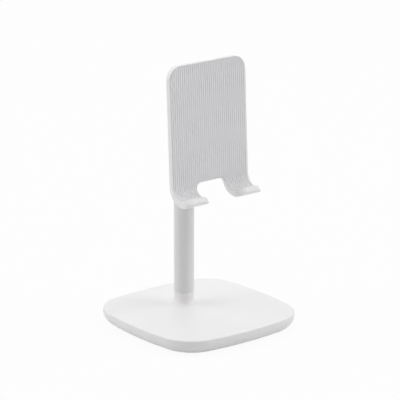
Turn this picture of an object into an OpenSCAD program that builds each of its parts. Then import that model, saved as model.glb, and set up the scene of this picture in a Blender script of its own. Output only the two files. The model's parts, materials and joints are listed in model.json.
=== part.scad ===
// Phone stand: a weighted base, a telescopic column and a tilting cradle with two hooks.
// Millimetres, +Z up. The cradle faces -Y, and the origin is on the table under the base's middle.

/* [Base] */
// Width of the base across the middle of its sides
base_side = 105; // [98:1:115]
// Corner radius of the base, seen from above
base_corner_r = 25; // [22:1:28]
// How far the middle of each side bulges out
base_bulge = 1.7; // [0.8:0.1:2.5]
// Height of the base's wall
base_wall_h = 9.4; // [9.2:0.1:11]
// How far the wall tucks in at its foot
base_tuck = 4.9; // [3.5:0.1:5.5]
// Radius of the rounded top edge
base_edge_r = 0.6; // [0.3:0.1:1]
// Thickness of the base's top skin
skin_t = 2.2; // [1.8:0.1:2.4]
// How far the foot pad stands out under the base
foot_stand = 0.8; // [0.6:0.1:1]

/* [Column] */
// How far the column stands behind the base's middle
column_back = 14.9; // [10:0.1:18]
// Outer diameter of the column tube
tube_od = 13; // [12.6:0.1:14]
// Inner diameter of the column tube
tube_id = 10.6; // [10.4:0.1:10.8]
// Outer diameter of the sliding tube
slide_od = 9; // [8.8:0.1:9.2]
// Inner diameter of the sliding tube
slide_id = 6.4; // [6:0.1:6.6]
// Height of the flared collar above the base
collar_h = 8.5; // [7:0.1:10]
// Fillet radius at the foot of the collar
collar_fillet = 5; // [3:0.1:6]
// How far the sliding tube pulls out
travel = 50; // [40:1:52]

/* [Hinge] */
// Height of the tilt axis above the table, with the column pushed in
hinge_h = 127; // [124:0.5:130]
// How far the plate leans back at rest, in degrees
recline = 2.63; // [0:0.01:8]
// Radius of the ears and of the tongue between them
ear_r = 6; // [5.8:0.1:6.2]
// Thickness of the tongue
tongue_t = 5; // [4.6:0.1:5.2]
// Diameter of the hinge bolt
bolt_d = 4; // [3.6:0.1:4]

/* [Cradle] */
// Width of the plate
plate_w = 60.2; // [56:0.1:66]
// Height of the plate, from the underside of the hooks to its top edge
plate_h = 87.5; // [84:0.1:96]
// Thickness of the plate
plate_t = 3.9; // [3.6:0.1:4.2]
// Radius of the plate's top corners
plate_corner_r = 9; // [8:0.5:14]
// How far the plate's back stands in front of the tilt axis
plate_reach = 22.5; // [22:0.1:24]
// How far the underside of the hooks lies below the tilt axis
plate_drop = 41; // [40:0.1:43]
// Outer radius of the curl under each hook
hook_r = 12; // [11.8:0.1:13]
// Radius of the hooks' front corners, seen from above
tip_corner_r = 3.5; // [2:0.5:4]
// Radius of the crown that rounds off both ends of the lips' face
lip_crown_r = 6; // [4:0.5:8]
// Width of the cable notch between the hooks
notch_w = 23; // [18:0.5:26]
// Height of the cable notch
notch_h = 12; // [10:0.5:14]
// Radius of the notch's top corners
notch_r = 3.7; // [2:0.1:5]

/* [Grip pad] */
// Depth of the pad's recess in the plate
pad_t = 1; // [0.8:0.1:1.2]
// Width of the rim that frames the pad
pad_rim = 0.6; // [0.5:0.1:1]
// Number of ribs across the pad
rib_count = 37; // [29:1:39]
// Radius of the pad's corners beside the lips
pad_corner_r = 4; // [2:0.5:5]
// How far the ribs stand out of the rim
rib_proud = 0.25; // [0.1:0.05:0.3]
// Depth of the grooves between the ribs
groove_depth = 0.55; // [0.3:0.05:0.6]

/* [Hidden] */
$fn = 64;

// Overshoot of a cut, clearance of a seat, clearance of a screw or a sliding fit on the radius
over = 1;
seat = 0.02;
slip = 0.05;

// Base outline: corner centres, the big radius of a side, and the angle that half a side turns through
base_k = base_side / 2 - base_corner_r - base_bulge;
side_r = (base_k * base_k + base_bulge * base_bulge) / (2 * base_bulge);
side_turn = asin(base_k / side_r);
side_steps = 4;
corner_steps = 12;
wall_steps = 7;
wall_curl = 3;

// Heights in the base, from the table up
rim_z = foot_stand;
top_z = rim_z + base_wall_h;
skin_z = top_z - skin_t;
pad_seat = 0.8;
foot_top_z = rim_z + pad_seat;
plate_top_z = rim_z + 2.2;
post_z = plate_top_z + 1.2;
boss_z = skin_z - 1.4;

// Insets of the base's inner pieces from its widest outline
wall_foot_inset = base_tuck + 2;
wall_head_inset = 2.2;
plate_inset = wall_foot_inset + 0.2;
foot_inset = base_tuck + 5.6;
weight_inset = base_tuck + 5.3;

// Screw posts in the base
post_at = 31;
post_r = 4;
screw_r = 1.45;
screw_head_r = 2.7;
screw_head_h = 1.2;

// Column joint
collar_top_z = top_z + collar_h;
boss_r = 9;
spigot_r = 4.5;
spigot_flat = 3.6;
column_screw_r = 2.5;
washer_t = 1.2;
washer_r = 8;
column_head_h = 2.1;
column_head_r = 4.75;
plug_top_z = collar_top_z + 13.3;

// Telescope: the slide foot's head, then the tubes, the bush and the knuckle's collar
foot_head_h = 10;
head_z = plug_top_z + 1;
slide_z = head_z + foot_head_h;
hinge_rise = 11;
knuckle_h = 3.5;
collar_z = hinge_h - hinge_rise - knuckle_h;
bush_flange = 1.4;
rest_gap = 0.4;
tube_top_z = collar_z - rest_gap - bush_flange;
bush_z = slide_z + travel + 0.3;
key_w = 1.8;
key_depth = 0.6;
groove_play = 0.1;
ring_d = 1.16;
ring_groove_w = 1.5;
ring_at = [2.6, 7.2];
spigot_len = 13;
pin_r = 1;
pin_l = 8.4;
pin_at = [slide_z + 6, collar_z - 8];

// Hinge stack, outwards from the middle of the tongue
tongue_x = tongue_t / 2;
cheek_x = tongue_x + 0.45;
web_x = cheek_x + 1.3;
head_x = web_x + 0.8;
cap_x = head_x + 1.8;
ear_x = cap_x + 0.9;
nut_t = 2.2;
nut_r = 4.04;
bolt_head_r = 3.8;
pocket_r = 4.3;
cap_r = 4.2;
friction_r = 5.6;
slot_f = 11;

// Bracket: its foot on the plate's back, and the waist between foot and ears
bracket_foot_t = 2.6;
bracket_foot = [28, 30];
bracket_foot_r = 5;
bracket_up = 3;
waist_low = -10;
waist_high = 14;
waist_half = 10.5;
waist_start = 15;
bracket_screw_at = [[0, -5.5], [0, 9.5]];
bracket_screw_l = 9;
csk_r = 2.8;
csk_h = 1.3;

// Cradle: forward distance of the faces from the tilt axis, and the centre of the hooks' curl
front_f = plate_reach + plate_t;
curl_f = plate_reach + hook_r;
curl_h = hook_r - plate_drop;
curl_in = hook_r - plate_t;
plate_top = plate_h - plate_drop;
lip_start = 12;
lip_top = [3.6, -6];
lip_foot = [7, -8.75];
lip_end = 24;
lip_slope = atan2(lip_top.y - lip_foot.y, lip_foot.x - lip_top.x);
crown_drop = 2.6;
crown_w = sqrt(crown_drop * (2 * lip_crown_r - crown_drop));
tip_f = curl_f + lip_foot.x + slip;
rib_pitch = (plate_w - 2 * pad_rim) / rib_count;
groove_w = 0.38 * rib_pitch;

// Angles of the outward normal at the outline's points, side after corner, all the way round
outline_turns = [
    for (q = [0:3]) each concat(
        [for (i = [0:side_steps - 1]) 90 * q - side_turn + 2 * side_turn * i / side_steps],
        [for (i = [0:corner_steps - 1]) 90 * q + side_turn + (90 - 2 * side_turn) * i / corner_steps]
    )
];

function turned(p, a) = [p.x * cos(a) - p.y * sin(a), p.x * sin(a) + p.y * cos(a)];

// Point of the base's outline with its normal at angle a, brought in by inset
function outline_point(a, inset) =
    let (
        quarter = 90 * floor((a + 45) / 90),
        b = a - quarter,
        r = base_corner_r - inset,
        on_side = abs(b) <= side_turn,
        side = [base_k + base_bulge - side_r + (side_r + r) * cos(b), (side_r + r) * sin(b)],
        corner = [base_k + r * cos(b), sign(b) * base_k + r * sin(b)]
    )
    turned(on_side ? side : corner, quarter);

function outline(inset) = [for (a = outline_turns) outline_point(a, inset)];

// Where the tangent from point p touches a circle of radius r at the origin, on side s
function tangent(p, r, s) = let (a = atan2(p.y, p.x) + s * acos(r / norm(p))) [r * cos(a), r * sin(a)];

function on_circle(r, down) = [r * sin(down), -r * cos(down)];

// Rings of the base's outer wall as [height, inset]: the tucked wall, then the rounded top edge
wall_rings = concat(
    [
        for (i = [0:wall_steps])
            let (t = 1 - i / (wall_steps + 1))
            [top_z - base_wall_h * t, base_tuck * pow(t, wall_curl)]
    ],
    [for (a = [30, 60, 90]) [top_z - base_edge_r * (1 - sin(a)), base_edge_r * (1 - cos(a))]]
);

// Closed solid through rings of the base's outline
module loft(rings) {
    n = len(outline_turns);
    last = n * (len(rings) - 1);
    sides = [
        for (j = [0:len(rings) - 2], i = [0:n - 1])
            let (a = j * n + i, b = j * n + (i + 1) % n)
            each [[a, a + n, b + n], [a, b + n, b]]
    ];
    polyhedron(
        points = [for (ring = rings) for (p = outline(ring[1])) [p.x, p.y, ring[0]]],
        faces = concat([[for (i = [0:n - 1]) i]], [[for (i = [n - 1:-1:0]) last + i]], sides)
    );
}

// Flat slab of the base's outline between two heights
module slab(inset, low, high) {
    translate([0, 0, low])
        linear_extrude(height = high - low)
            polygon(outline(inset));
}

module at_posts() {
    for (x = [-post_at, post_at], y = [-post_at, post_at])
        translate([x, y, 0])
            children();
}

module at_column(z) {
    translate([0, column_back, z])
        children();
}

// Round bar up the column's axis between two heights
module bar(r, low, high) {
    at_column(low)
        cylinder(h = high - low, r = r);
}

// Round bar along the tilt axis between two places
module axle(r, from, to) {
    translate([from, 0, 0])
        rotate([0, 90, 0])
            cylinder(h = to - from, r = r);
}

module at_hinge() {
    translate([0, column_back, hinge_h])
        children();
}

// The cradle's own frame: origin on the tilt axis, leaning back with the plate
module on_cradle() {
    at_hinge()
        rotate([-recline, 0, 0])
            children();
}

// Extrudes a side profile (forward, up) across the width, a front outline (across, up) forwards,
// or a plan (across, forward) upwards
module across(width) {
    rotate([90, 0, -90])
        linear_extrude(height = width, center = true)
            children();
}

module forwards(from, to) {
    translate([0, -from, 0])
        rotate([90, 0, 0])
            linear_extrude(height = to - from)
                children();
}

module upwards(low, high) {
    translate([0, 0, low])
        linear_extrude(height = high - low)
            mirror([0, 1])
                children();
}

module rounded(size, r) {
    square([size.x - 2 * r, size.y], center = true);
    square([size.x, size.y - 2 * r], center = true);
    for (x = [-1, 1], y = [-1, 1])
        translate([x * (size.x / 2 - r), y * (size.y / 2 - r)])
            circle(r);
}

// Block with two rounded upper corners, open downwards
module arch(half, low, high, r) {
    translate([-half, low])
        square([2 * half, high - r - low]);
    translate([r - half, low])
        square([2 * (half - r), high - low]);
    for (s = [-1, 1])
        translate([s * (half - r), high - r])
            circle(r);
}

// Moulded shell of the base with the collar, the column boss and four screw posts
module base_cover() {
    color("white")
        difference() {
            union() {
                difference() {
                    loft(wall_rings);
                    loft([
                        [rim_z - over, wall_foot_inset],
                        [plate_top_z, wall_foot_inset],
                        [skin_z, wall_head_inset]
                    ]);
                }
                at_column(top_z)
                    rotate_extrude()
                        collar_profile();
                bar(boss_r, boss_z, skin_z + over);
                at_posts()
                    translate([0, 0, post_z])
                        cylinder(h = skin_z + over - post_z, r = post_r);
            }
            spigot(spigot_r + slip, boss_z - over, collar_top_z + over);
            at_posts()
                translate([0, 0, post_z - over])
                    cylinder(h = skin_z - 0.2 - post_z + over, r = screw_r + seat);
        }
}

// Half section of the collar, with its concave foot
module collar_profile() {
    rim_r = tube_od / 2;
    foot_r = rim_r + collar_fillet;
    sink = 0.05;
    difference() {
        translate([0, -over])
            square([foot_r, collar_h + over]);
        translate([foot_r, collar_fillet - sink])
            circle(collar_fillet);
        translate([rim_r, collar_fillet - sink])
            square([foot_r, collar_h]);
    }
}

// Round spigot with one flat at the back, which keys the column to the base
module spigot(r, low, high) {
    difference() {
        bar(r, low, high);
        translate([-r - over, column_back + spigot_flat + r - spigot_r, low - over])
            cube([2 * r + 2 * over, r, high - low + 2 * over]);
    }
}

module counterweight() {
    color("dimgray")
        difference() {
            slab(weight_inset, plate_top_z, skin_z);
            bar(boss_r + 1, plate_top_z - over, skin_z + over);
            at_posts()
                translate([0, 0, plate_top_z - over])
                    cylinder(h = skin_z - plate_top_z + 2 * over, r = post_r + 1);
        }
}

module base_plate() {
    color("gainsboro")
        difference() {
            union() {
                slab(plate_inset, rim_z, plate_top_z);
                at_posts()
                    translate([0, 0, plate_top_z - over])
                        cylinder(h = post_z - plate_top_z + over, r = post_r);
            }
            slab(foot_inset - 0.15, rim_z - over, foot_top_z);
            at_posts() {
                translate([0, 0, foot_top_z - over])
                    cylinder(h = over + 0.1 + screw_head_h, r = screw_head_r + slip);
                cylinder(h = post_z + over, r = screw_r + slip);
            }
        }
}

// Silicone foot with a shallow ring groove under it
module foot_pad() {
    groove_inset = foot_inset + 4;
    groove_width = 1.6;
    color("lightgray")
        difference() {
            slab(foot_inset, 0, foot_top_z);
            difference() {
                slab(groove_inset, -over, 0.5);
                slab(groove_inset + groove_width, -2 * over, over);
            }
        }
}

module base_screws() {
    head_low = foot_top_z + 0.1;
    color("silver")
        at_posts() {
            translate([0, 0, head_low])
                cylinder(h = screw_head_h, r = screw_head_r);
            translate([0, 0, head_low])
                cylinder(h = skin_z - 0.6 - head_low, r = screw_r);
        }
}

// Insert in the foot of the column tube: a round body, and the keyed spigot below it
module tube_plug() {
    color("silver")
        difference() {
            union() {
                bar(tube_id / 2 - seat, collar_top_z, plug_top_z);
                spigot(spigot_r, boss_z + 0.4, collar_top_z + over);
            }
            bar(column_screw_r + slip, boss_z - over, plug_top_z - 6);
        }
}

module column_screw() {
    washer_z = boss_z - washer_t;
    color("silver")
        difference() {
            union() {
                bar(column_head_r, washer_z - column_head_h, washer_z);
                bar(column_screw_r, washer_z - column_head_h, plug_top_z - 8);
            }
            at_column(washer_z - column_head_h - over)
                cylinder(h = over + 1.3, r = 1.7, $fn = 6);
        }
}

module column_washer() {
    color("silver")
        difference() {
            bar(washer_r, boss_z - washer_t, boss_z);
            bar(column_screw_r + slip, boss_z - washer_t - over, boss_z + over);
        }
}

module outer_tube() {
    color("lightgray")
        difference() {
            bar(tube_od / 2, collar_top_z, tube_top_z);
            bar(tube_id / 2, collar_top_z - over, tube_top_z + over);
        }
}

// Flanged bush in the tube's mouth, with a key at the back that runs in the sliding tube's groove
module guide_bush() {
    bore_r = slide_od / 2 + slip;
    high = tube_top_z + bush_flange;
    color("whitesmoke") {
        difference() {
            union() {
                bar(tube_id / 2 - seat, bush_z, tube_top_z + bush_flange / 2);
                bar(tube_od / 2, tube_top_z, high);
            }
            bar(bore_r, bush_z - over, high + over);
        }
        intersection() {
            at_column(bush_z)
                translate([-key_w / 2, slide_od / 2 - key_depth, 0])
                    cube([key_w, key_depth + 3 * slip, high - bush_z]);
            bar(bore_r + slip, bush_z, high);
        }
    }
}

module inner_tube() {
    groove = key_depth + groove_play;
    width = key_w + 2 * groove_play;
    color("silver")
        difference() {
            bar(slide_od / 2, slide_z, collar_z);
            bar(slide_id / 2, slide_z - over, collar_z + over);
            at_column(slide_z - over)
                translate([-width / 2, slide_od / 2 - groove, 0])
                    cube([width, slide_od, collar_z - slide_z + 2 * over]);
            pin_holes();
        }
}

module pin_holes() {
    for (z = pin_at)
        at_column(z)
            axle(pin_r + seat, -slide_od, slide_od);
}

// Plug on the sliding tube's lower end, with two grooves for the friction rings
module slide_foot() {
    head_r = tube_id / 2 - slip;
    color("whitesmoke")
        difference() {
            union() {
                bar(head_r, head_z, slide_z);
                bar(slide_id / 2 - seat, slide_z - over, slide_z + spigot_len);
            }
            for (z = ring_at)
                at_column(head_z + z - ring_groove_w / 2)
                    difference() {
                        cylinder(h = ring_groove_w, r = head_r + over);
                        cylinder(h = ring_groove_w, r = tube_id / 2 - ring_d - 2 * seat);
                    }
            pin_holes();
        }
}

module friction_rings() {
    color("dimgray")
        for (z = ring_at)
            at_column(head_z + z)
                rotate_extrude()
                    translate([tube_id / 2 - seat - ring_d / 2, 0])
                        circle(ring_d / 2, $fn = 32);
}

module retaining_pins() {
    color("silver")
        for (z = pin_at)
            at_column(z)
                axle(pin_r, -pin_l / 2, pin_l / 2);
}

// Collar that meets the bush, spigot in the sliding tube, and the tongue of the hinge
module hinge_knuckle() {
    shoulder = 1.5;
    color("white")
        difference() {
            union() {
                bar(tube_od / 2, collar_z, collar_z + knuckle_h);
                at_column(collar_z + knuckle_h)
                    cylinder(h = shoulder, r1 = tube_od / 2 - 0.3, r2 = tongue_t);
                bar(slide_id / 2 - seat, collar_z - spigot_len, collar_z + over);
                at_hinge()
                    across(tongue_t) {
                        circle(ear_r);
                        translate([-ear_r, -hinge_rise - over])
                            square([2 * ear_r, hinge_rise + over]);
                    }
            }
            at_hinge()
                axle(bolt_d / 2 + slip, -tube_od, tube_od);
            pin_holes();
        }
}

// Bracket on the plate's back: a foot, a tapering waist and two ears with pockets
module hinge_bracket() {
    low = [plate_reach - bracket_foot_t, waist_low];
    high = [plate_reach - bracket_foot_t, waist_high];
    end = plate_reach - over;
    color("white")
        on_cradle()
            difference() {
                union() {
                    forwards(plate_reach - bracket_foot_t, plate_reach)
                        translate([0, bracket_up])
                            rounded(bracket_foot, bracket_foot_r);
                    intersection() {
                        across(2 * waist_half + over) {
                            circle(ear_r);
                            polygon([
                                tangent(low, ear_r, -1), low, [end, waist_low],
                                [end, waist_high], high, tangent(high, ear_r, 1)
                            ]);
                        }
                        upwards(waist_low - over, waist_high + over)
                            polygon([
                                [-ear_x, -ear_r - over], [ear_x, -ear_r - over], [ear_x, waist_start],
                                [waist_half, end], [-waist_half, end], [-ear_x, waist_start]
                            ]);
                    }
                }
                translate([-cheek_x, -slot_f, waist_low - over])
                    cube([2 * cheek_x, slot_f + ear_r + over, waist_high - waist_low + 2 * over]);
                axle(bolt_d / 2 + slip, -tube_od, tube_od);
                axle(pocket_r, -ear_x - over, -web_x);
                axle(pocket_r, cap_x, ear_x + over);
                translate([web_x, 0, 0])
                    rotate([0, 90, 0])
                        cylinder(h = cap_x + over - web_x, r = nut_r + slip, $fn = 6);
                for (at = bracket_screw_at)
                    bracket_screw_hole(at, screw_r + seat, front_f - pad_t - bracket_screw_l - 0.5);
            }
}

module bracket_screw_hole(at, r, from) {
    forwards(from, front_f + over)
        translate(at)
            circle(r);
}

// Cone of a countersunk head, flush with the floor of the pad's recess
module countersink(at, room) {
    translate([at.x, csk_h - front_f + pad_t, at.y])
        rotate([90, 0, 0])
            cylinder(h = csk_h, r1 = screw_r + room, r2 = csk_r + room);
}

module bracket_screws() {
    seat_f = front_f - pad_t;
    color("silver")
        on_cradle()
            for (at = bracket_screw_at) {
                forwards(seat_f - bracket_screw_l, seat_f - csk_h / 2)
                    translate(at)
                        circle(screw_r);
                countersink(at, 0);
            }
}

module hinge_bolt() {
    color("silver")
        on_cradle()
            difference() {
                union() {
                    axle(bolt_head_r, -cap_x, -head_x);
                    axle(bolt_d / 2, -cap_x, web_x + nut_t + 0.2);
                }
                translate([-cap_x - over, 0, 0])
                    rotate([0, 90, 0])
                        cylinder(h = over + 1.2, r = 1.45, $fn = 6);
            }
}

module hinge_nut() {
    color("silver")
        on_cradle()
            difference() {
                translate([web_x, 0, 0])
                    rotate([0, 90, 0])
                        cylinder(h = nut_t, r = nut_r, $fn = 6);
                axle(bolt_d / 2 + seat, web_x - over, web_x + nut_t + over);
            }
}

module friction_washers() {
    color("dimgray")
        on_cradle()
            for (side = [0, 1])
                mirror([side, 0, 0])
                    difference() {
                        axle(friction_r, tongue_x + slip, cheek_x);
                        axle(bolt_d / 2 + slip, 0, ear_x);
                    }
}

// Two coned spring washers, nested, under the bolt's head
module disc_springs() {
    thick = 0.3;
    step = thick + seat;
    cone = head_x - web_x - thick - step;
    in_r = bolt_d / 2 + 2 * slip;
    out_r = pocket_r - 0.3;
    color("silver")
        on_cradle()
            rotate([0, -90, 0])
                for (i = [0, 1])
                    translate([0, 0, web_x + i * step])
                        rotate_extrude()
                            polygon([[out_r, 0], [out_r, thick], [in_r, thick + cone], [in_r, cone]]);
}

module hinge_cap() {
    crown = 0.3;
    axle(cap_r, cap_x + slip, ear_x);
    translate([ear_x, 0, 0])
        rotate([0, 90, 0])
            cylinder(h = crown, r1 = cap_r, r2 = cap_r - 2 * crown);
}

module hinge_cap_left() {
    color("white")
        on_cradle()
            mirror([1, 0, 0])
                hinge_cap();
}

module hinge_cap_right() {
    color("white")
        on_cradle()
            hinge_cap();
}

// Pie slice of the curl, from straight back to an angle past straight down
module curl_slice(past) {
    reach = 2 * hook_r;
    end = on_circle(reach, past);
    polygon([[0, 0], [-reach, 0], [-reach, -reach], end + [0, -reach], end]);
}

// Side profile of the plate between an inner and an outer offset: flat, then curled
module curled(inner_r, outer_r, past) {
    translate([curl_f - outer_r, curl_h])
        square([outer_r - inner_r, plate_top + over - curl_h]);
    translate([curl_f, curl_h])
        intersection() {
            difference() {
                circle(outer_r);
                circle(inner_r);
            }
            curl_slice(past);
        }
}

// The plate's curl with the lip raised at its end, cut off along the lip's sloping face
module plate_blank(width) {
    nose = on_circle(hook_r, lip_end);
    root_r = hook_r - plate_t / 3;
    root = lip_start - 2;
    far = 2 * hook_r;
    difference() {
        union() {
            across(width)
                curled(curl_in, hook_r, lip_end + 8);
            across(width)
                translate([curl_f, curl_h])
                    polygon([
                        on_circle(root_r, root), on_circle(curl_in - 0.3, root),
                        lip_top, lip_foot, on_circle(root_r, lip_end)
                    ]);
        }
        across(width + over)
            translate([curl_f, curl_h])
                polygon([
                    lip_top, lip_foot, lip_foot + 4 * (nose - lip_foot),
                    [far, -far], [far, lip_top.y], lip_top + [1, 1]
                ]);
    }
}

// Front outline of the plate, brought in all round, with the cable notch
module plate_front(inset) {
    difference() {
        arch(plate_w / 2 - inset, -plate_drop - over, plate_top - inset, plate_corner_r - inset);
        arch(notch_w / 2 + inset, -plate_drop - 2 * over, notch_h - plate_drop + inset, notch_r + inset);
    }
}

// What an arc that starts inwards by w takes off one corner of a hook, with the hook below it
module corner_offcut(at, inward, r, w) {
    difference() {
        translate(at + [inward * (w - over) / 2, (over - r) / 2])
            square([w + over, r + over], center = true);
        translate(at + [inward * w, -r])
            circle(r);
    }
}

// The offcuts of both hooks, at an edge ahead of the tilt axis or above it
module hook_offcuts(edge, inset, r, w) {
    for (side = [-1, 1]) {
        corner_offcut([side * (plate_w / 2 - inset), edge], -side, r, w);
        corner_offcut([side * (notch_w / 2 + inset), edge], side, r, w);
    }
}

// Turns a plan so that it runs down the lips' face, with that face as its edge
module along_lip() {
    face_l = norm(lip_foot - lip_top);
    translate([0, -curl_f - lip_top.x, curl_h + lip_top.y])
        rotate([lip_slope - 90, 0, 0])
            upwards(-face_l - over, over)
                children();
}

// Space of the pad between two radii of the curl: the flat front, then round to the lip
module grip_recess(inset, front_r, back_r, past) {
    end_f = curl_f + on_circle(back_r, past).x;
    difference() {
        intersection() {
            across(plate_w + over)
                curled(front_r, back_r, past);
            forwards(plate_reach, tip_f + over)
                plate_front(inset);
        }
        upwards(-plate_drop - over, curl_h)
            hook_offcuts(end_f, inset, pad_corner_r, pad_corner_r);
    }
}

module cradle_plate() {
    color("white")
        on_cradle()
            difference() {
                intersection() {
                    plate_blank(plate_w + over);
                    forwards(plate_reach - over, tip_f + over)
                        plate_front(0);
                }
                grip_recess(pad_rim, curl_in - over, curl_in + pad_t, lip_start);
                upwards(-plate_drop - over, curl_h)
                    hook_offcuts(tip_f, 0, tip_corner_r, tip_corner_r);
                along_lip()
                    hook_offcuts(slip, 0, lip_crown_r, crown_w);
                for (at = bracket_screw_at) {
                    bracket_screw_hole(at, screw_r + slip, plate_reach - over);
                    countersink(at, slip);
                }
            }
}

module grip_pad() {
    color("gainsboro")
        on_cradle()
            difference() {
                grip_recess(pad_rim + slip, curl_in - rib_proud, curl_in + pad_t - seat, lip_start - 0.5);
                for (i = [0:rib_count - 2])
                    translate([(i - (rib_count - 2) / 2) * rib_pitch, 0, 0])
                        across(groove_w)
                            curled(curl_in - 2 * over, curl_in - rib_proud + groove_depth, lip_start);
            }
}

base_cover();
counterweight();
base_plate();
foot_pad();
base_screws();
tube_plug();
column_screw();
column_washer();
outer_tube();
guide_bush();
inner_tube();
slide_foot();
friction_rings();
retaining_pins();
hinge_knuckle();
hinge_bracket();
bracket_screws();
hinge_bolt();
hinge_nut();
friction_washers();
disc_springs();
hinge_cap_left();
hinge_cap_right();
cradle_plate();
grip_pad();
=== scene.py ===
import bpy
import bmesh
import json
import math
from mathutils import Matrix, Vector


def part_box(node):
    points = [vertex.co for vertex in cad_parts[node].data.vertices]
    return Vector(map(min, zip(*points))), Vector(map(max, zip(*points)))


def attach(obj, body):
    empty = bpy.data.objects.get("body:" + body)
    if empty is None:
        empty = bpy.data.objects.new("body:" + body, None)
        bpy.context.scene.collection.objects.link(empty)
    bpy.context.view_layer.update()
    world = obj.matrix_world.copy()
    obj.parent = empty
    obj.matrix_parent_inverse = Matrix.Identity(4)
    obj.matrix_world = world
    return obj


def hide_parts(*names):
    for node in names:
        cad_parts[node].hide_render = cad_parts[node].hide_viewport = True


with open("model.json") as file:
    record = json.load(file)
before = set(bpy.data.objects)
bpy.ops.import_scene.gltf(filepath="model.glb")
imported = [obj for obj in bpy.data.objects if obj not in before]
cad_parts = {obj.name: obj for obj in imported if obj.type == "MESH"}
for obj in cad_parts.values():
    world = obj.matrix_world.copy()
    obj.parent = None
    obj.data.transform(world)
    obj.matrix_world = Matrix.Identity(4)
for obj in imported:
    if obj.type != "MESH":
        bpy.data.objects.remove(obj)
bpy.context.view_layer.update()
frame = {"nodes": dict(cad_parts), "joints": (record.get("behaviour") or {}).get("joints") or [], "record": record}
mm = 0.001  # pieces are drawn in millimetres and stored in metres
print("frame loaded,", len(frame["nodes"]), "nodes")


# Small helpers

def nodeBox(node):
    low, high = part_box(node)
    return low / mm, high / mm


def steps(first, last, count):
    return [first + (last - first) * i / count for i in range(count + 1)]


def merged(values, gap):
    # sorted, with near-equal values dropped
    kept = []
    for value in sorted(values):
        if not kept or value - kept[-1] > gap:
            kept.append(value)
    return kept


def loftRings(bm, rings, closed):
    # quads between rings of equal length, and back to the first ring where closed
    rows = [[bm.verts.new(point) for point in ring] for ring in rings]
    nextRows = rows[1:] + (rows[:1] if closed else [])
    count = len(rings[0])
    for row, nextRow in zip(rows, nextRows):
        for i in range(count):
            j = (i + 1) % count
            bm.faces.new((row[i], row[j], nextRow[j], nextRow[i]))
    return rows


def addPiece(name, bm, unit, material, replaced, sharpAngle=40):
    # one finished mesh that stands for a CAD node, on that node's body and in its slot
    bmesh.ops.recalc_face_normals(bm, faces=bm.faces)
    mesh = bpy.data.meshes.new(name)
    bm.to_mesh(mesh)
    bm.free()
    mesh.transform(Matrix.Scale(unit, 4))
    mesh.materials.append(material)
    mesh.shade_smooth()
    mesh.set_sharp_from_angle(angle=math.radians(sharpAngle))
    piece = bpy.data.objects.new(name, mesh)
    bpy.context.scene.collection.objects.link(piece)
    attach(piece, bodyOf[replaced])
    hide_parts(replaced)


bodyOf = {n: body for body, nodes in frame["record"]["behaviour"]["bodies"].items() for n in nodes}
slotOf = {part["node"]: part["material_slot"] for part in frame["record"]["subparts"]}


# Shader groups

def newGroup(name, inputs, outputs):
    group = bpy.data.node_groups.new(name, "ShaderNodeTree")
    for label, value in inputs.items():
        socket = group.interface.new_socket(label, in_out="INPUT", socket_type="NodeSocketFloat")
        socket.default_value = value
    for label in outputs:
        group.interface.new_socket(label, in_out="OUTPUT", socket_type="NodeSocketFloat")
    return group, group.nodes.new("NodeGroupInput"), group.nodes.new("NodeGroupOutput")


def mouldGrainGroup():
    # spark-eroded mould texture: a fine even grain, and broad patches where it is finer or coarser
    group, given, result = newGroup(
        "mouldGrain", {"Grains per m": 2600.0, "Patches per m": 45.0}, ["Grain", "Patches"])
    place = group.nodes.new("ShaderNodeTexCoord")
    fine = group.nodes.new("ShaderNodeTexNoise")
    fine.inputs["Detail"].default_value = 3.0
    fine.inputs["Roughness"].default_value = 0.6
    broad = group.nodes.new("ShaderNodeTexNoise")
    broad.inputs["Detail"].default_value = 2.0
    group.links.new(place.outputs["Object"], fine.inputs["Vector"])
    group.links.new(place.outputs["Object"], broad.inputs["Vector"])
    group.links.new(given.outputs["Grains per m"], fine.inputs["Scale"])
    group.links.new(given.outputs["Patches per m"], broad.inputs["Scale"])
    group.links.new(fine.outputs["Fac"], result.inputs["Grain"])
    group.links.new(broad.outputs["Fac"], result.inputs["Patches"])
    return group


def drawnLinesGroup():
    # fine lines along Z, as on drawn tube and turned bar
    group, given, result = newGroup(
        "drawnLines", {"Across per m": 3000.0, "Along per m": 30.0}, ["Lines"])
    place = group.nodes.new("ShaderNodeTexCoord")
    stretch = group.nodes.new("ShaderNodeCombineXYZ")
    scaled = group.nodes.new("ShaderNodeVectorMath")
    scaled.operation = "MULTIPLY"
    lines = group.nodes.new("ShaderNodeTexNoise")
    lines.inputs["Scale"].default_value = 1.0
    lines.inputs["Detail"].default_value = 4.0
    group.links.new(given.outputs["Across per m"], stretch.inputs["X"])
    group.links.new(given.outputs["Across per m"], stretch.inputs["Y"])
    group.links.new(given.outputs["Along per m"], stretch.inputs["Z"])
    group.links.new(place.outputs["Object"], scaled.inputs[0])
    group.links.new(stretch.outputs["Vector"], scaled.inputs[1])
    group.links.new(scaled.outputs["Vector"], lines.inputs["Vector"])
    group.links.new(lines.outputs["Fac"], result.inputs["Lines"])
    return group


mouldGrain = mouldGrainGroup()
drawnLines = drawnLinesGroup()


# Materials

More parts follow.
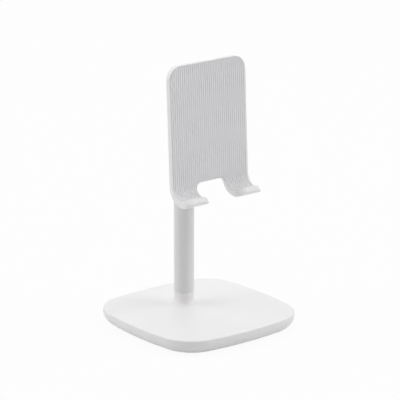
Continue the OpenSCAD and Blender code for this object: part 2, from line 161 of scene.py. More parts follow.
finishes = {
    "white_shell": {"colour": (0.866, 0.856, 0.86), "patch": 0.02, "rough": (0.38, 0.5),
                    "grains": 2600, "bump": 0.10, "coat": 0.0, "metal": 0.0},
    "white_enamel": {"colour": (0.84, 0.84, 0.84), "patch": 0.02, "rough": (0.28, 0.4),
                     "grains": 900, "bump": 0.06, "coat": 0.25, "metal": 0.0},
    "under_plastic": {"colour": (0.70, 0.70, 0.70), "patch": 0.03, "rough": (0.45, 0.6),
                      "grains": 2200, "bump": 0.15, "coat": 0.0, "metal": 0.0},
    "bush_plastic": {"colour": (0.80, 0.80, 0.79), "patch": 0.03, "rough": (0.35, 0.5),
                     "grains": 3000, "bump": 0.08, "coat": 0.0, "metal": 0.0},
    "foot_silicone": {"colour": (0.60, 0.60, 0.60), "patch": 0.06, "rough": (0.65, 0.85),
                      "grains": 4000, "bump": 0.20, "coat": 0.0, "metal": 0.0},
    "pad_silicone": {"colour": (0.845, 0.838, 0.856), "patch": 0.02, "rough": (0.55, 0.72),
                     "grains": 9000, "bump": 0.03, "coat": 0.0, "metal": 0.0},
    "ring_rubber": {"colour": (0.05, 0.05, 0.05), "patch": 0.3, "rough": (0.5, 0.7),
                    "grains": 5000, "bump": 0.15, "coat": 0.0, "metal": 0.0},
    "weight_iron": {"colour": (0.30, 0.30, 0.31), "patch": 0.35, "rough": (0.4, 0.65),
                    "grains": 900, "bump": 0.25, "coat": 0.0, "metal": 1.0},
}
drawnFinishes = {
    "column_grey": {"colour": (0.762, 0.757, 0.767), "streak": 0.03, "rough": (0.3, 0.42),
                    "across": 2500, "along": 25, "bump": 0.04, "coat": 0.15, "metal": 0.0},
    "bright_alloy": {"colour": (0.62, 0.62, 0.63), "streak": 0.10, "rough": (0.25, 0.42),
                     "across": 4000, "along": 40, "bump": 0.06, "coat": 0.0, "metal": 1.0},
    "screw_steel": {"colour": (0.62, 0.62, 0.62), "streak": 0.12, "rough": (0.22, 0.4),
                    "across": 6000, "along": 400, "bump": 0.05, "coat": 0.0, "metal": 1.0},
}
finishBasics = {
    "coatRough": 0.2,
    "noiseSpan": (0.3, 0.7),   # the part of a noise's range that the roughness follows
    "bumpDepth": 0.1,          # mm, at a bump strength of 1
}


def newMaterial(name, values):
    material = bpy.data.materials.new(name)
    material.use_nodes = True
    tree = material.node_tree
    shader = tree.nodes["Principled BSDF"]
    shader.inputs["Metallic"].default_value = values["metal"]
    shader.inputs["Coat Weight"].default_value = values["coat"]
    shader.inputs["Coat Roughness"].default_value = finishBasics["coatRough"]
    return material, tree, shader


def tint(tree, shader, mask, colour, share):
    # base colour swings by share, up and down, with the mask
    mix = tree.nodes.new("ShaderNodeMix")
    mix.data_type = "RGBA"
    mix.inputs["A"].default_value = (*[c * (1 - share) for c in colour], 1)
    mix.inputs["B"].default_value = (*[min(c * (1 + share), 1) for c in colour], 1)
    tree.links.new(mask, mix.inputs["Factor"])
    tree.links.new(mix.outputs["Result"], shader.inputs["Base Color"])


def roughen(tree, shader, mask, rough):
    spread = tree.nodes.new("ShaderNodeMapRange")
    spread.inputs["From Min"].default_value = finishBasics["noiseSpan"][0]
    spread.inputs["From Max"].default_value = finishBasics["noiseSpan"][1]
    spread.inputs["To Min"].default_value = rough[0]
    spread.inputs["To Max"].default_value = rough[1]
    tree.links.new(mask, spread.inputs["Value"])
    tree.links.new(spread.outputs["Result"], shader.inputs["Roughness"])


def emboss(tree, shader, height, strength):
    bump = tree.nodes.new("ShaderNodeBump")
    bump.inputs["Strength"].default_value = strength
    bump.inputs["Distance"].default_value = finishBasics["bumpDepth"] * mm
    tree.links.new(height, bump.inputs["Height"])
    tree.links.new(bump.outputs["Normal"], shader.inputs["Normal"])


def mouldedFinish(name, values):
    material, tree, shader = newMaterial(name, values)
    grain = tree.nodes.new("ShaderNodeGroup")
    grain.node_tree = mouldGrain
    grain.inputs["Grains per m"].default_value = values["grains"]
    tint(tree, shader, grain.outputs["Patches"], values["colour"], values["patch"])
    roughen(tree, shader, grain.outputs["Grain"], values["rough"])
    emboss(tree, shader, grain.outputs["Grain"], values["bump"])
    return material


def drawnFinish(name, values):
    material, tree, shader = newMaterial(name, values)
    lines = tree.nodes.new("ShaderNodeGroup")
    lines.node_tree = drawnLines
    lines.inputs["Across per m"].default_value = values["across"]
    lines.inputs["Along per m"].default_value = values["along"]
    tint(tree, shader, lines.outputs["Lines"], values["colour"], values["streak"])
    roughen(tree, shader, lines.outputs["Lines"], values["rough"])
    emboss(tree, shader, lines.outputs["Lines"], values["bump"])
    return material


materials = {name: mouldedFinish(name, values) for name, values in finishes.items()}
materials.update({name: drawnFinish(name, values) for name, values in drawnFinishes.items()})
for nodeName, node in frame["nodes"].items():
    node.data.materials.clear()
    node.data.materials.append(materials[slotOf[nodeName]])
print("materials made,", len(materials))


# Column axis and heights, read from the frame

tubeLow, tubeHigh = nodeBox("outer_tube")
columnAxis = (tubeLow + tubeHigh) / 2
tubeRadius = (tubeHigh.x - tubeLow.x) / 2
coverLow, coverHigh = nodeBox("base_cover")
skinUnder = nodeBox("counterweight")[1].z
plateOver = nodeBox("counterweight")[0].z


def columnRing(radius, z, turns):
    return [(columnAxis.x + radius * math.cos(a), columnAxis.y + radius * math.sin(a), z) for a in turns]


# Base shell: one closed skin from the foot, up the tucked wall, over the top and down the collar's bore

baseShape = {
    "side": 104.98,      # across the middle of the sides
    "corner": 25.0,
    "bulge": 1.7,        # how far each side swells
    "tuck": 4.9,         # how far the wall draws in at its foot
    "tuckPower": 3,
    "skin": 2.2,
    "topEdge": 0.6,
    "footEdge": 0.35,
    "footWall": 2.0,
    "fillet": 5.0,       # concave foot of the collar
    "collarEdge": 0.2,
    "boreRadius": 4.6,
    "sideSteps": 10,
    "cornerSteps": 22,
    "wallSteps": 14,
    "edgeSteps": 4,
    "topSteps": 4,       # from the rim in to the collar's foot
    "filletSteps": 10,
}
baseTop = skinUnder + baseShape["skin"]
wallHeight = baseTop - coverLow.z
cornerAt = baseShape["side"] / 2 - baseShape["corner"] - baseShape["bulge"]
sideRadius = (cornerAt ** 2 + baseShape["bulge"] ** 2) / (2 * baseShape["bulge"])
sideTurn = math.asin(cornerAt / sideRadius)
quarterTurn = math.pi / 2


def basePoint(turn, inset, z):
    # point of the outline whose normal stands at that turn
    quarter = quarterTurn * math.floor(turn / quarterTurn + 0.5)
    bend = turn - quarter
    radius = baseShape["corner"] - inset
    if abs(bend) <= sideTurn:
        x = cornerAt + baseShape["bulge"] - sideRadius + (sideRadius + radius) * math.cos(bend)
        y = (sideRadius + radius) * math.sin(bend)
    else:
        x = cornerAt + radius * math.cos(bend)
        y = math.copysign(cornerAt, bend) + radius * math.sin(bend)
    return Matrix.Rotation(quarter, 3, "Z") @ Vector((x, y, z))


baseTurns = []
for quarter in range(4):
    middle = quarterTurn * quarter
    baseTurns += steps(middle - sideTurn, middle + sideTurn, baseShape["sideSteps"])[:-1]
    baseTurns += steps(middle + sideTurn, middle + quarterTurn - sideTurn, baseShape["cornerSteps"])[:-1]


def baseRing(inset, z):
    return [basePoint(turn, inset, z) for turn in baseTurns]


def wallInset(z):
    return baseShape["tuck"] * ((baseTop - z) / wallHeight) ** baseShape["tuckPower"]


def baseShell():
    edge, foot = baseShape["topEdge"], baseShape["footEdge"]
    footIn = baseShape["tuck"] + baseShape["footWall"]
    rings = [baseRing(footIn, coverLow.z), baseRing(wallInset(coverLow.z) + foot, coverLow.z)]
    wallHeights = steps(coverLow.z + foot, baseTop - edge, baseShape["wallSteps"])
    rings += [baseRing(wallInset(z), z) for z in wallHeights]
    for turn in steps(0, quarterTurn, baseShape["edgeSteps"])[1:]:
        rings.append(baseRing(edge * (1 - math.cos(turn)), baseTop - edge * (1 - math.sin(turn))))
    rim = rings[-1]
    spokes = [math.atan2(p.y - columnAxis.y, p.x - columnAxis.x) for p in rim]
    fillet = baseShape["fillet"]
    filletFoot = columnRing(tubeRadius + fillet, baseTop, spokes)
    for share in steps(0, 1, baseShape["topSteps"])[1:-1]:
        rings.append([p.lerp(Vector(q), share) for p, q in zip(rim, filletFoot)])
    for turn in steps(0, quarterTurn, baseShape["filletSteps"]):
        radius = tubeRadius + fillet * (1 - math.sin(turn))
        rings.append(columnRing(radius, baseTop + fillet * (1 - math.cos(turn)), spokes))
    collarEdge = baseShape["collarEdge"]
    rings.append(columnRing(tubeRadius, coverHigh.z - collarEdge, spokes))
    rings.append(columnRing(tubeRadius - collarEdge, coverHigh.z, spokes))
    rings.append(columnRing(baseShape["boreRadius"], coverHigh.z, spokes))
    rings.append(columnRing(baseShape["boreRadius"], skinUnder, spokes))
    rings.append(baseRing(baseShape["skin"], skinUnder))
    rings.append(baseRing(footIn, plateOver))
    bm = bmesh.new()
    loftRings(bm, rings, True)
    addPiece("baseShell", bm, mm, materials["white_shell"], "base_cover")


baseShell()
print("base shell made")


# Column tube, with a fine chamfer at both ends that shows as the seam above the collar

tubeShape = {"wall": 1.2, "chamfer": 0.2, "segments": 128, "sharpAngle": 30}


def columnTube():
    inner, cut = tubeRadius - tubeShape["wall"], tubeShape["chamfer"]
    profile = [
        (inner, tubeLow.z), (tubeRadius - cut, tubeLow.z), (tubeRadius, tubeLow.z + cut),
        (tubeRadius, tubeHigh.z - cut), (tubeRadius - cut, tubeHigh.z), (inner, tubeHigh.z),
    ]
    turns = steps(0, 2 * math.pi, tubeShape["segments"])[:-1]
    bm = bmesh.new()
    loftRings(bm, [columnRing(radius, z, turns) for radius, z in profile], True)
    addPiece("columnTube", bm, mm, materials["column_grey"], "outer_tube", tubeShape["sharpAngle"])


columnTube()
print("column tube made")


# Cradle: worked out in its own plane as across, ahead of the tilt axis, and up from it

cradleShape = {
    "recline": 2.63,       # degrees
    "half": 30.1,          # half the plate's width
    "top": 46.5,
    "corner": 9.0,
    "back": 22.5,
    "thick": 3.4,
    "curl": 12.0,          # outer radius under the hooks
    "curlUp": -29.0,       # height of the curl's centre
    "notchHalf": 11.75,
    "notchTop": -29.7,
    "notchCorner": 4.6,
    "rim": 0.6,            # white line round the pad
    "recess": 0.5,
    "edge": 0.3,           # rounding of the outline's edges
    "lipTurn": 102.0,      # degrees round the curl, from straight back
    "lipRise": 0.3,
    "lipTop": (3.6, -6.0),     # from the curl's centre
    "lipFoot": (7.0, -8.75),
    "noseTurn": 114.0,
    "tipCorner": 3.5,          # front corners of the hooks, in plan
    "crown": 8.5,              # radius that rounds off both ends of a lip's face
    "crownDrop": 2.6,          # how far the face has fallen at the hook's sides
    "padCorner": 4.0,          # of the recess beside a lip
}
plateSteps = {
    "edge": 4,
    "neck": 6,
    "curl": 18,
    "lipFoot": 4,
    "under": 24,
    "corner": 12,
    "bend": 9,
    "crown": 8,
}
tiltJoint = next(joint for joint in frame["joints"] if joint["name"] == "cradle_tilt")
tiltAxis = Vector(tiltJoint["pos_m"]) / mm
reclined = Matrix.Rotation(math.radians(-cradleShape["recline"]), 3, "X")
curlAhead = cradleShape["back"] + cradleShape["curl"]
curlUp = cradleShape["curlUp"]
frontLayer = cradleShape["curl"] - cradleShape["thick"]
floorLayer = frontLayer + cradleShape["recess"]
cornerX = cradleShape["half"] - cradleShape["corner"]
cornerUp = cradleShape["top"] - cradleShape["corner"]
notchX = cradleShape["notchHalf"] - cradleShape["notchCorner"]
hookUp = cradleShape["notchTop"] - cradleShape["notchCorner"]  # below this the plate is two hooks


def fromCradle(x, ahead, up):
    return tiltAxis + reclined @ Vector((x, -ahead, up))


def topAt(x, inset):
    arm, reach = x - cornerX, cradleShape["corner"] - inset
    if arm <= 0:
        return cradleShape["top"] - inset
    return cornerUp + math.sqrt(max(reach ** 2 - arm ** 2, 0.0))


def notchAt(x, inset):
    arm, reach = x - notchX, cradleShape["notchCorner"] + inset
    if arm <= 0:
        return cradleShape["notchTop"] + inset
    return hookUp + math.sqrt(max(reach ** 2 - arm ** 2, 0.0))


def outlineGap(x, up):
    # distance from the plate's outline, seen from the front
    arm, rise = x - cornerX, up - cornerUp
    outer = min(cradleShape["half"] - x, cradleShape["top"] - up)
    if arm > 0 and rise > 0:
        outer = cradleShape["corner"] - math.hypot(arm, rise)
    arm, rise = x - notchX, up - hookUp
    if arm <= 0:
        inner = up - cradleShape["notchTop"]
    elif rise > 0:
        inner = math.hypot(arm, rise) - cradleShape["notchCorner"]
    else:
        inner = x - cradleShape["notchHalf"]
    return min(outer, inner)


def hookGap(x):
    return min(cradleShape["half"] - x, x - cradleShape["notchHalf"])


def edgeDrop(gap):
    # how far a surface falls off beside a rounded edge
    edge = cradleShape["edge"]
    short = edge - min(max(gap, 0.0), edge)
    return edge - math.sqrt(edge ** 2 - short ** 2)


def layerAt(layer, up):
    # point of a layer of the plate at that height: flat, then round the back of the curl
    fall = max(curlUp - up, 0.0)
    return (curlAhead - math.sqrt(layer ** 2 - fall ** 2), up)


def layerRound(layer, turn):
    return (curlAhead - layer * math.cos(turn), curlUp - layer * math.sin(turn))


def turnOf(layer, up):
    return math.asin((curlUp - up) / layer)


def roundedPath(points, radii, roomShare, count):
    # the inner points become arcs of the given radii, or of what a share of the runs beside them allows
    path = [points[0]]
    for before, corner, after, radius in zip(points, points[1:], points[2:], radii):
        swing = (corner - before).angle_signed(after - corner)
        room = roomShare * min((corner - before).length, (after - corner).length)
        radius = min(radius, room / math.tan(abs(swing) / 2))
        into = (corner - before).normalized()
        side = Vector((into.y, -into.x)) * math.copysign(1, swing)
        start = corner - into * radius * math.tan(abs(swing) / 2)
        centre = start + side * radius
        for turn in steps(0, swing, count):
            path.append(centre + Matrix.Rotation(-turn, 2) @ (start - centre))
    return path


edgeTurns = steps(0, quarterTurn, plateSteps["edge"])
edgeGaps = [cradleShape["edge"] * (1 - math.cos(turn)) for turn in edgeTurns]
rimShares = [0, 0.25, 0.5, 0.78, 0.94, 1]          # down the rim over the notch
backShares = [0, 0.05, 0.15, 0.3, 0.5, 0.75, 1]    # up the back, to the height of the curl's centre
lipTurn = math.radians(cradleShape["lipTurn"])
noseTurn = math.radians(cradleShape["noseTurn"])
lipRound = {
    "radii": (0.55, 0.6, 0.7),          # top, foot and nose
    "roomShare": 0.45,
    "steps": 5,
    "heart": Vector((2.6, -10.2)),      # the lip's edges draw in towards this point
    "topLimit": 0.96,                   # of the way from the lip's top to its inner foot
    "underTurn": 0.14,                  # how far under the nose the lip's outline ends
    "returnTurn": 0.2,                  # and where the hook's underside takes over
}
crownWide = math.sqrt(cradleShape["crownDrop"] * (2 * cradleShape["crown"] - cradleShape["crownDrop"]))


def crownAt(x):
    short = max(crownWide - hookGap(x), 0.0)
    return cradleShape["crown"] - math.sqrt(cradleShape["crown"] ** 2 - short ** 2)


def lipPath(x):
    # the lip's outline from the pad's end over its top and nose, with the face crowned towards the sides
    centre = Vector((curlAhead, curlUp))
    inFoot = Vector(layerRound(frontLayer - cradleShape["lipRise"], lipTurn)) - centre
    nose = Vector(layerRound(cradleShape["curl"], noseTurn)) - centre
    under = Vector(layerRound(cradleShape["curl"], noseTurn - lipRound["underTurn"])) - centre
    lipTop, lipFoot = Vector(cradleShape["lipTop"]), Vector(cradleShape["lipFoot"])
    along = (lipFoot - lipTop).normalized()
    inward = Vector((along.y, -along.x))
    topShare = min(crownAt(x) / inward.dot(inFoot - lipTop), lipRound["topLimit"])
    footShare = crownAt(x) / inward.dot(nose - lipTop)
    corners = [inFoot, lipTop.lerp(inFoot, topShare), lipFoot.lerp(nose, footShare), nose, under]
    drop = edgeDrop(hookGap(x))
    moved = []
    for point in roundedPath(corners, lipRound["radii"], lipRound["roomShare"], lipRound["steps"]):
        moved.append(tuple(centre + point + (lipRound["heart"] - point).normalized() * drop))
    return moved


def padRetreat(x, inset):
    # how far a rounded corner of the pad, or of its recess, stays back from the lip
    radius = cradleShape["padCorner"]
    short = radius - min(max(hookGap(x) - inset, 0.0), radius)
    return radius - math.sqrt(radius ** 2 - short ** 2)


def drawnBack(x, point):
    # rounds the hook's front corners in plan
    radius = cradleShape["tipCorner"]
    gap = min(hookGap(x), radius)
    share = math.sqrt(radius ** 2 - (radius - gap) ** 2) / radius
    start = curlAhead + cradleShape["lipFoot"][0] - radius
    ahead, up = point
    return (start + (ahead - start) * share if ahead > start else ahead, up)


def plateSection(x, hook, upperRecess, lowerRecess):
    # side section of the plate at x, as front run, hook and back run
    top, low = topAt(x, 0), hookUp
    rimIn = cradleShape["half"] - cradleShape["rim"]
    rimTop = topAt(x, cradleShape["rim"]) if x <= rimIn else cornerUp - (x - rimIn)
    if x <= cradleShape["notchHalf"] + cradleShape["rim"]:
        low = notchAt(x, cradleShape["rim"])
    cut = hookUp if hook else notchAt(x, 0)
    upper = floorLayer if upperRecess else frontLayer
    lower = floorLayer if lowerRecess else frontLayer
    front = [layerAt(frontLayer + edgeDrop(outlineGap(x, top - gap)), top - gap) for gap in edgeGaps]
    front += [layerAt(frontLayer + edgeDrop(outlineGap(x, rimTop)), rimTop), layerAt(upper, rimTop)]
    front += [layerAt(upper, up) for up in steps(max(low, curlUp), low, plateSteps["neck"])]
    for up in [low + (cut - low) * share for share in rimShares]:
        front.append(layerAt(lower + edgeDrop(outlineGap(x, up)), up))
    back = []
    for up in [cut + (curlUp - cut) * share for share in backShares] + [curlUp + cradleShape["edge"]]:
        back.append(layerAt(cradleShape["curl"] - edgeDrop(outlineGap(x, up)), up))
    for gap in reversed(edgeGaps):
        back.append(layerAt(cradleShape["curl"] - edgeDrop(outlineGap(x, top - gap)), top - gap))
    if not hook:
        return front, [], back
    drop = edgeDrop(hookGap(x))
    recessTurn = lipTurn - padRetreat(x, cradleShape["rim"]) / frontLayer
    recessTurns = steps(turnOf(lower, cut), recessTurn, plateSteps["curl"])[1:]
    curl = [layerRound(lower + drop, turn) for turn in recessTurns]
    footTurns = steps(recessTurn, lipTurn, plateSteps["lipFoot"])
    curl += [layerRound(frontLayer + drop, turn) for turn in footTurns]
    curl += lipPath(x)
    under = cradleShape["curl"] - drop
    underTurns = steps(noseTurn - lipRound["returnTurn"], turnOf(under, cut), plateSteps["under"])[:-1]
    curl += [layerRound(under, turn) for turn in underTurns]
    return front, [drawnBack(x, point) for point in curl], back


nearly = 0.02    # stations across the cradle that lie closer than this are one
weld = {"mirror": 1e-4, "doubles": 2e-4, "slivers": 1e-4}


def loftSections(sections):
    # half a cradle piece from sections (x, front, hook, back), mirrored to the other side
    bm = bmesh.new()
    for hook in (False, True):
        rings = []
        for x, front, curl, back in sections:
            if bool(curl) == hook:
                rings.append([fromCradle(x, *point) for point in front + curl + back])
        rows = loftRings(bm, rings, False)
        if hook:
            _, front, curl, _ = next(section for section in sections if section[2])
            first, last = len(front) - 1, len(front) + len(curl)
            bm.faces.new(rows[0][first:last + 1])   # side of the hook towards the notch
            bm.faces.new(rows[-1])                  # outer side of the plate
    half = bm.faces[:] + bm.edges[:] + bm.verts[:]
    bmesh.ops.mirror(bm, geom=half, axis="X", merge_dist=weld["mirror"])
    bmesh.ops.remove_doubles(bm, verts=bm.verts, dist=weld["doubles"])
    bmesh.ops.dissolve_degenerate(bm, edges=bm.edges, dist=weld["slivers"])
    return bm


def cradlePlate():
    half, notchHalf = cradleShape["half"], cradleShape["notchHalf"]
    rim, tip = cradleShape["rim"], cradleShape["tipCorner"]
    quarter = [math.sin(turn) for turn in steps(0, quarterTurn, plateSteps["corner"])]
    bends = [1 - math.cos(turn) for turn in steps(0, quarterTurn, plateSteps["bend"])]
    hookGaps = edgeGaps + [tip * bend for bend in bends] + steps(0, crownWide, plateSteps["crown"])
    hookGaps += [rim + cradleShape["padCorner"] * bend for bend in bends]
    notchSide = [notchX + cradleShape["notchCorner"] * share for share in quarter]
    inNotch = merged([0, notchX / 2] + notchSide, nearly)
    inNotch[-1] = notchHalf
    inHook = [notchHalf + gap for gap in hookGaps] + [half - gap for gap in hookGaps]
    inHook += [cornerX + cradleShape["corner"] * share for share in quarter]
    inHook += [cornerX + (cradleShape["corner"] - rim) * share for share in quarter]
    clear = nearly / 2
    inHook = merged([x for x in inHook if x > notchHalf + clear], nearly)
    padStart, padEnd = notchHalf + rim, half - rim
    # across, whether it is in a hook, and whether the recess lies above and below the hook's start
    stations = [(x, False, True, False) for x in inNotch]
    beforePad = [notchHalf] + [x for x in inHook if x < padStart - clear]
    stations += [(x, True, True, False) for x in beforePad]
    stations += [(padStart, True, True, False), (padStart, True, True, True)]
    stations += [(x, True, True, True) for x in inHook if padStart + clear < x < padEnd - clear]
    stations += [(padEnd, True, True, True), (padEnd, True, False, False)]
    stations += [(x, True, False, False) for x in inHook if x > padEnd + clear]
    bm = loftSections([(station[0], *plateSection(*station)) for station in stations])
    addPiece("cradlePlate", bm, mm, materials["white_shell"], "cradle_plate")


cradlePlate()
print("cradle plate made")


# Grip pad: soft ribs up the plate and round the hooks

padShape = {
    "gap": 0.12,           # between pad and rim
    "ribs": 37,
    "pitch": 1.608,
    "proud": 0.25,         # of the ribs over the rim
    "groove": 0.4,
    "flank": (0.13, 0.25),     # where a rib's side starts and ends, in pitches from the groove's middle
    "crown": 0.08,
    "endRound": 0.1,
    "endTurn": 101.5,
    "bed": 0.02,           # clearance under the pad
    # painted shade between the ribs, standing in for the grooves' own shadow: its share and colour
    "dust": 0.3,           # share of painted shade laid on a groove's floor
    "grooveShadeColour": (0.60, 0.59, 0.60),
    "neckSteps": 8,
    "curlSteps": 20,
    "cornerSteps": 10,
    "sharpAngle": 50,
}
padInset = cradleShape["rim"] + padShape["gap"]
padHalf = cradleShape["half"] - padInset


def ribLayer(x):
    # depth of the pad's face at x, as a layer of the plate
    away = abs((x / padShape["pitch"]) % 1 - 0.5)
    foot, head = padShape["flank"]
    share = min(max((away - foot) / (head - foot), 0.0), 1.0)
    rise = share * share * (3 - 2 * share) - padShape["crown"] * (1 - 2 * away) * share
    return frontLayer - padShape["proud"] + padShape["groove"] * (1 - rise)


def padSection(x, hook):
    face, under, end = ribLayer(x), floorLayer - padShape["bed"], padShape["endRound"]
    neckSteps, curlSteps = padShape["neckSteps"], padShape["curlSteps"]
    top = topAt(x, padInset)
    cut = hookUp if hook else notchAt(x, padInset)
    start = max(cut, curlUp)
    front = [layerAt(face + end, top), layerAt(face, top - end), layerAt(face, top - 2 * end)]
    front += [layerAt(face, up) for up in steps(start, cut, neckSteps)]
    back = [layerAt(under, up) for up in steps(cut, start, neckSteps)] + [layerAt(under, top)]
    if not hook:
        return front, [], back
    endTurn = math.radians(padShape["endTurn"]) - padRetreat(x, padInset) / frontLayer
    faceTurns = steps(turnOf(face, cut), endTurn - end / face, curlSteps)[1:]
    curl = [layerRound(face, turn) for turn in faceTurns]
    curl.append(layerRound(face + end, endTurn))
    curl += [layerRound(under, turn) for turn in steps(endTurn, turnOf(under, cut), curlSteps)[:-1]]
    return front, curl, back


def paintGrooveShade(tree):
    # painted shade darkens the pad between the ribs, where the grooves' shadow falls; the ribs lie at even steps
    # across it
    place = tree.nodes.new("ShaderNodeTexCoord")
    split = tree.nodes.new("ShaderNodeSeparateXYZ")
    tree.links.new(place.outputs["Object"], split.inputs["Vector"])
    away = split.outputs["X"]
    pitch = padShape["pitch"] * mm
    for operation, value in (("DIVIDE", pitch), ("FRACT", 0), ("SUBTRACT", 0.5), ("ABSOLUTE", 0)):
        step = tree.nodes.new("ShaderNodeMath")
        step.operation = operation
        step.inputs[1].default_value = value
        tree.links.new(away, step.inputs[0])
        away = step.outputs["Value"]
    shadeShare = tree.nodes.new("ShaderNodeMapRange")
    shadeShare.interpolation_type = "SMOOTHSTEP"
    shadeShare.inputs["From Min"].default_value = padShape["flank"][0]
    shadeShare.inputs["From Max"].default_value = padShape["flank"][1]
    shadeShare.inputs["To Min"].default_value = padShape["dust"]
    shadeShare.inputs["To Max"].default_value = 0.0
    tree.links.new(away, shadeShare.inputs["Value"])
    baseColour = tree.nodes["Principled BSDF"].inputs["Base Color"]
    mix = tree.nodes.new("ShaderNodeMix")
    mix.data_type = "RGBA"
    mix.inputs["B"].default_value = (*padShape["grooveShadeColour"], 1)
    tree.links.new(shadeShare.outputs["Result"], mix.inputs["Factor"])
    tree.links.new(baseColour.links[0].from_socket, mix.inputs["A"])
    tree.links.new(mix.outputs["Result"], baseColour)


def gripPad():
    foot, head = padShape["flank"]
    third = (head - foot) / 3
    awayShares = [0, foot, foot + third, head - third, head, (head + 0.5) / 2, 0.5]
    pitch = padShape["pitch"]
    ribStations = []
    for i in range(padShape["ribs"] // 2 + 1):
        for away in awayShares:
            ribStations += [pitch * (i + 0.5 - away), pitch * (i + 0.5 + away)]
    side = cradleShape["notchHalf"] + padInset
    cornerTurns = steps(0, quarterTurn, padShape["cornerSteps"])
    notchSide = [notchX + (side - notchX) * math.sin(turn) for turn in cornerTurns]
    inNotch = merged([x for x in ribStations if 0 <= x < side] + notchSide, nearly)
    inNotch[-1] = side
    inHook = merged([x for x in ribStations if side + nearly < x < padHalf - nearly], nearly)
    inHook = [side] + inHook + [padHalf]
    stations = [(x, False) for x in inNotch] + [(x, True) for x in inHook]
    bm = loftSections([(x, *padSection(x, hook)) for x, hook in stations])
    addPiece("gripPad", bm, mm, materials["pad_silicone"], "grip_pad", padShape["sharpAngle"])


# paints shade into the pad's grooves
paintGrooveShade(materials["pad_silicone"].node_tree)
gripPad()
print("grip pad made")


# Pieces whose CAD shape is right and whose edges are rounded here

softEdges = {
    "hinge_bracket": 0.5,
    "hinge_knuckle": 0.35,
    "hinge_cap_left": 0.15,
    "hinge_cap_right": 0.15,
    "guide_bush": 0.2,
    "inner_tube": 0.12,
    "foot_pad": 0.2,
    "base_plate": 0.2,
}
softening = {
    "segments": 3,
    "sharpFrom": 35,     # degrees between two faces
    "flatWithin": 0.5,   # degrees, for facets that are joined up first
    "weld": 0.002,
}


def softenNode(node, radius):
    bm = bmesh.new()
    bm.from_mesh(frame["nodes"][node].data)
    bmesh.ops.remove_doubles(bm, verts=bm.verts, dist=softening["weld"] * mm)
    flatWithin = math.radians(softening["flatWithin"])
    bmesh.ops.dissolve_limit(bm, angle_limit=flatWithin, verts=bm.verts, edges=bm.edges)
    sharpFrom = math.radians(softening["sharpFrom"])
    sharp = [e for e in bm.edges if e.is_manifold and e.calc_face_angle() > sharpFrom]
    bmesh.ops.bevel(bm, geom=sharp, offset=radius * mm, segments=softening["segments"], profile=0.5,
                    affect="EDGES", clamp_overlap=True)
    words = node.split("_")
    name = words[0] + "".join(word.title() for word in words[1:])
    addPiece(name, bm, 1, materials[slotOf[node]], node)  # already in metres


for node, radius in softEdges.items():
    softenNode(node, radius)
print("edges rounded on", len(softEdges), "pieces")


# Camera at the photograph's angle

photoView = {
    "azimuth": -38.55,
    "elevation": 16.68,
    "distance": 1575.0,
    "target": (0.72, -0.58, 82.7),
    "lens": 224.67,
    "sensor": 36.0,
    "clipEnd": 10.0,     # metres
}


def outward(azimuth, elevation):
    turn, rise = math.radians(azimuth), math.radians(elevation)
    return Vector((math.sin(turn) * math.cos(rise), -math.cos(turn) * math.cos(rise), math.sin(rise)))


def photoCamera():
    away = outward(photoView["azimuth"], photoView["elevation"])
    camera = bpy.data.objects.new("photoCamera", bpy.data.cameras.new("photoCamera"))
    camera.data.lens = photoView["lens"]
    camera.data.sensor_width = photoView["sensor"]
    camera.data.clip_end = photoView["clipEnd"]
    camera.location = (Vector(photoView["target"]) + away * photoView["distance"]) * mm
    camera.rotation_euler = away.to_track_quat("Z", "Y").to_euler()
    bpy.context.scene.collection.objects.link(camera)
    bpy.context.scene.camera = camera


photoCamera()
print("camera set")


# Studio: pale floor, white surroundings and soft lamps

studio = {
    "floorSize": 6.0,        # metres, as are the lamps' range, size and aim
    "floorLevel": -0.05,     # mm, just clear of the foot pad's underside
    "floorColour": 0.82,
    "floorRough": 0.9,
    "floorWhite": 0.93,      # share of plain white that the camera sees in the floor
    "ambient": 0.25,
    "lampRange": 3.6,
    "lampSize": 2.8,
    "lampAim": (0, 0, 0.08),
    "lamps": {               # degrees round from the camera, degrees up from the floor, watts
        "leftLamp": (-90, 25, 39.0),
        "rightLamp": (90, 25, 41.5),
        "highLeftLamp": (-90, 60, 26.0),
        "highRightLamp": (90, 60, 24.0),
        "highFrontLamp": (0, 60, 13.0),
        "highBackLamp": (180, 60, 28.0),
    },
}
seenRays = ["Is Camera Ray", "Is Glossy Ray", "Is Transmission Ray"]


def seenShare(tree):
    # 1 for rays that see the surroundings, 0 for those that carry light from them
    path = tree.nodes.new("ShaderNodeLightPath")
    total = path.outputs[seenRays[0]]
    for label in seenRays[1:]:
        add = tree.nodes.new("ShaderNodeMath")
        add.operation = "ADD"
        add.use_clamp = True
        tree.links.new(total, add.inputs[0])
        tree.links.new(path.outputs[label], add.inputs[1])
        total = add.outputs["Value"]
    return total


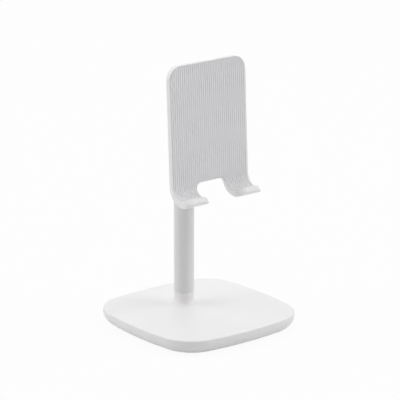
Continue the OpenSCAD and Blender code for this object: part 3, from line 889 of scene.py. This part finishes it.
def studioWorld():
    world = bpy.data.worlds.new("studioWorld")
    world.use_nodes = True
    tree = world.node_tree
    light = tree.nodes["Background"]
    light.inputs["Color"].default_value = (1, 1, 1, 1)
    light.inputs["Strength"].default_value = studio["ambient"]
    seen = tree.nodes.new("ShaderNodeBackground")
    seen.inputs["Color"].default_value = (1, 1, 1, 1)
    mix = tree.nodes.new("ShaderNodeMixShader")
    tree.links.new(seenShare(tree), mix.inputs["Fac"])
    tree.links.new(light.outputs["Background"], mix.inputs[1])
    tree.links.new(seen.outputs["Background"], mix.inputs[2])
    tree.links.new(mix.outputs["Shader"], tree.nodes["World Output"].inputs["Surface"])
    bpy.context.scene.world = world


def studioFloor():
    bm = bmesh.new()
    bmesh.ops.create_grid(bm, x_segments=1, y_segments=1, size=studio["floorSize"] / 2)
    mesh = bpy.data.meshes.new("studioFloor")
    bm.to_mesh(mesh)
    bm.free()
    material = bpy.data.materials.new("paleFloor")
    material.use_nodes = True
    tree = material.node_tree
    shader = tree.nodes["Principled BSDF"]
    shader.inputs["Base Color"].default_value = (*[studio["floorColour"]] * 3, 1)
    shader.inputs["Roughness"].default_value = studio["floorRough"]
    shader.inputs["Specular IOR Level"].default_value = 0.0
    white = tree.nodes.new("ShaderNodeEmission")
    share = tree.nodes.new("ShaderNodeMath")
    share.operation = "MULTIPLY"
    share.inputs[1].default_value = studio["floorWhite"]
    mix = tree.nodes.new("ShaderNodeMixShader")
    tree.links.new(seenShare(tree), share.inputs[0])
    tree.links.new(share.outputs["Value"], mix.inputs["Fac"])
    tree.links.new(shader.outputs["BSDF"], mix.inputs[1])
    tree.links.new(white.outputs["Emission"], mix.inputs[2])
    tree.links.new(mix.outputs["Shader"], tree.nodes["Material Output"].inputs["Surface"])
    mesh.materials.append(material)
    floor = bpy.data.objects.new("studioFloor", mesh)
    floor.location.z = studio["floorLevel"] * mm
    bpy.context.scene.collection.objects.link(floor)


def softLamp(name, bearing, rise, watts):
    lamp = bpy.data.lights.new(name, "AREA")
    lamp.energy = watts
    lamp.size = studio["lampSize"]
    holder = bpy.data.objects.new(name, lamp)
    holder.location = outward(photoView["azimuth"] + bearing, rise) * studio["lampRange"]
    aim = Vector(studio["lampAim"]) - holder.location
    holder.rotation_euler = aim.to_track_quat("-Z", "Y").to_euler()
    bpy.context.scene.collection.objects.link(holder)


bpy.context.scene.view_settings.view_transform = "Standard"
studioWorld()
studioFloor()
for lampName, lampValues in studio["lamps"].items():
    softLamp(lampName, *lampValues)
print("studio set")
